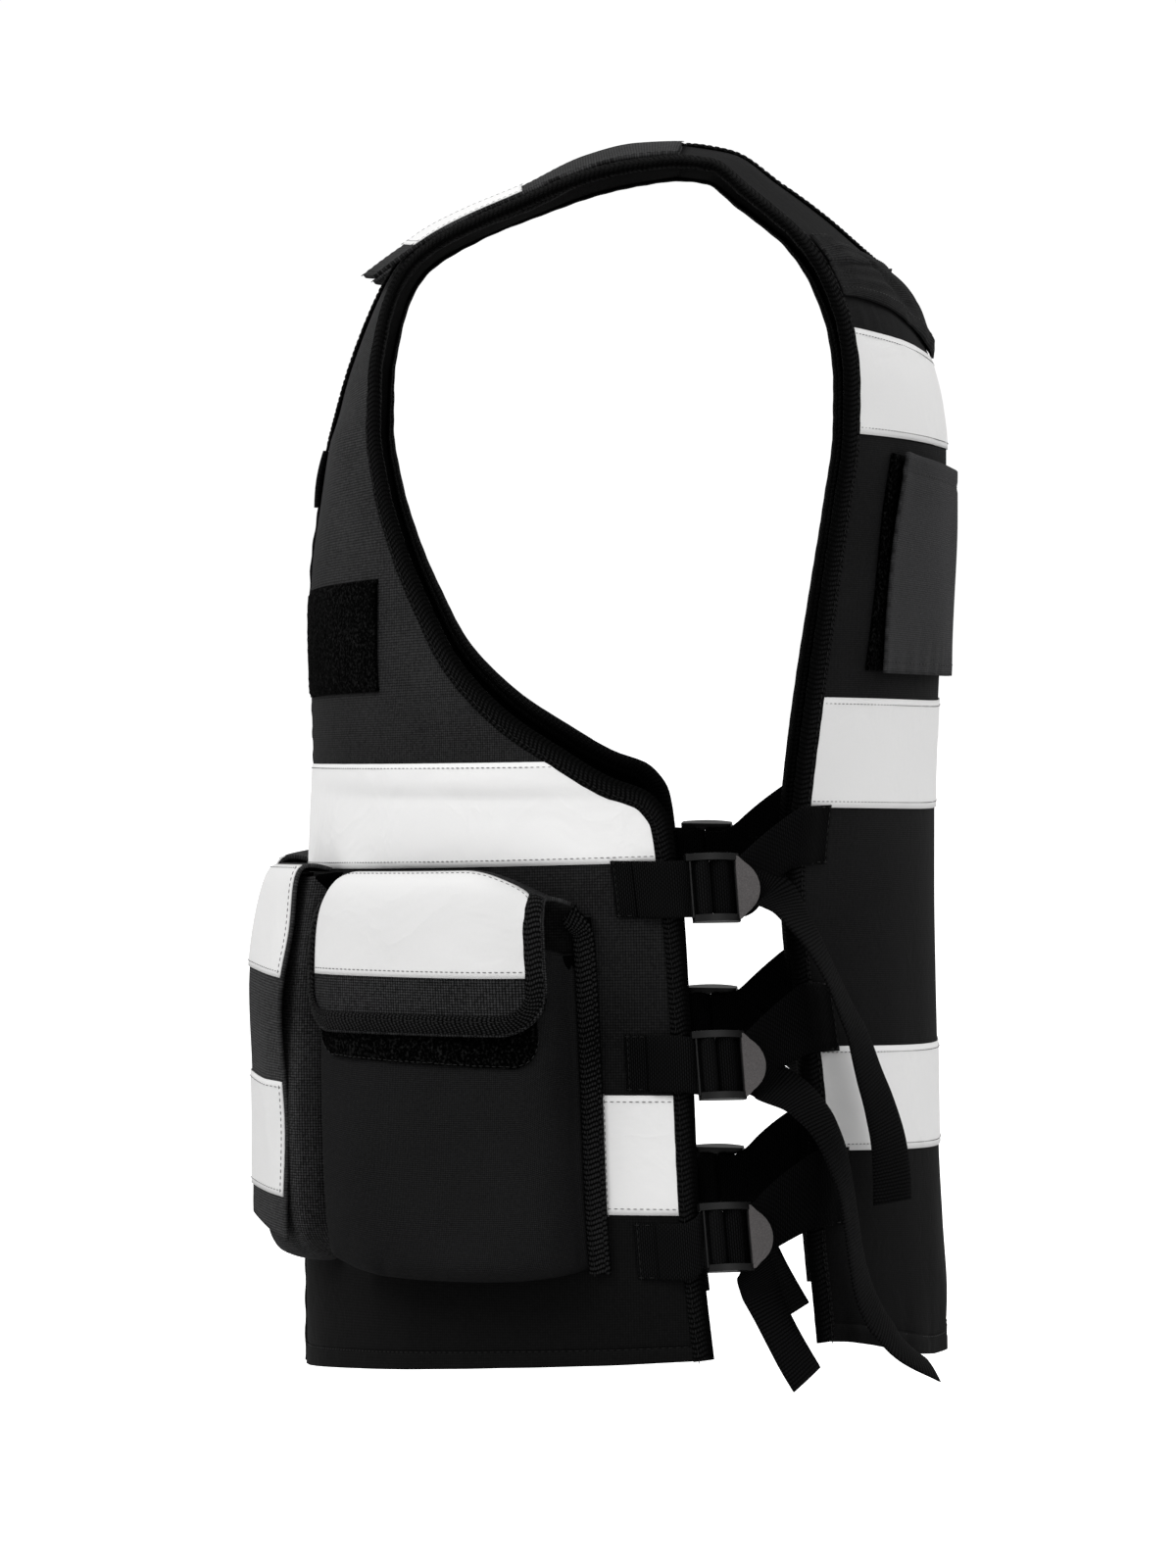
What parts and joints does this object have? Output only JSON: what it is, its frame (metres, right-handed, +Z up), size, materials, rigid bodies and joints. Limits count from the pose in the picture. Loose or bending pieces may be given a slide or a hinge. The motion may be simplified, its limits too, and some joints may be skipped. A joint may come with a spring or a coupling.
{
  "type": "tactical vest",
  "caption": "Worn-form sleeveless utility vest with lidded pouches, reflective tape, pile fields and side straps in ladder buckles, bound round every edge.",
  "frame": {"origin": "midway between the two shoulder straps, just under them, where the vest sits on the wearer's shoulders", "axes": "+Z up, -Y towards the vest's front, +X towards the wearer's left"},
  "size_m": [0.421, 0.321, 0.5468],
  "materials": {
    "polyester": "black woven polyester, matte",
    "binding": "black ribbed edge tape",
    "reflective": "silver-white reflective tape, satin",
    "loop_pile": "black loop pile, very matte",
    "webbing": "black woven webbing",
    "buckle_plastic": "moulded black plastic"
  },
  "bodies": {
    "root": {"back_lower_tape": "reflective", "back_middle_tape": "reflective", "back_panel": "polyester", "back_upper_tape": "reflective", "buckle_1_left": "buckle_plastic", "buckle_1_right": "buckle_plastic", "buckle_2_left": "buckle_plastic", "buckle_2_right": "buckle_plastic", "buckle_3_left": "buckle_plastic", "buckle_3_right": "buckle_plastic", "chest_patch_left": "loop_pile", "chest_patch_right": "loop_pile", "chest_tab": "webbing", "front_lower_tape_left": "reflective", "front_lower_tape_right": "reflective", "front_panel_left": "polyester", "front_panel_right": "polyester", "front_upper_tape_left": "reflective", "front_upper_tape_right": "reflective", "front_web_1_left": "webbing", "front_web_1_right": "webbing", "front_web_2_left": "webbing", "front_web_2_right": "webbing", "front_web_3_left": "webbing", "front_web_3_right": "webbing", "front_zip": "polyester", "id_panel": "polyester", "id_pile": "loop_pile", "main_flap_left": "polyester", "main_flap_right": "polyester", "main_flap_tape_left": "reflective", "main_flap_tape_right": "reflective", "main_pile_left": "loop_pile", "main_pile_right": "loop_pile", "main_pouch_left": "polyester", "main_pouch_right": "polyester", "neck_binding": "binding", "rear_strap_1_left": "webbing", "rear_strap_1_right": "webbing", "rear_strap_2_left": "webbing", "rear_strap_2_right": "webbing", "rear_strap_3_left": "webbing", "rear_strap_3_right": "webbing", "shoulder_flap_left": "polyester", "shoulder_flap_right": "polyester", "shoulder_tape_left": "reflective", "shoulder_tape_right": "reflective", "side_binding_left": "binding", "side_binding_right": "binding", "slim_flap_left": "polyester", "slim_flap_right": "polyester", "slim_pouch_left": "polyester", "slim_pouch_right": "polyester", "slim_tape_lower_left": "reflective", "slim_tape_lower_right": "reflective", "slim_tape_upper_left": "reflective", "slim_tape_upper_right": "reflective", "yoke_loop": "polyester"}
  },
  "joints": []
}
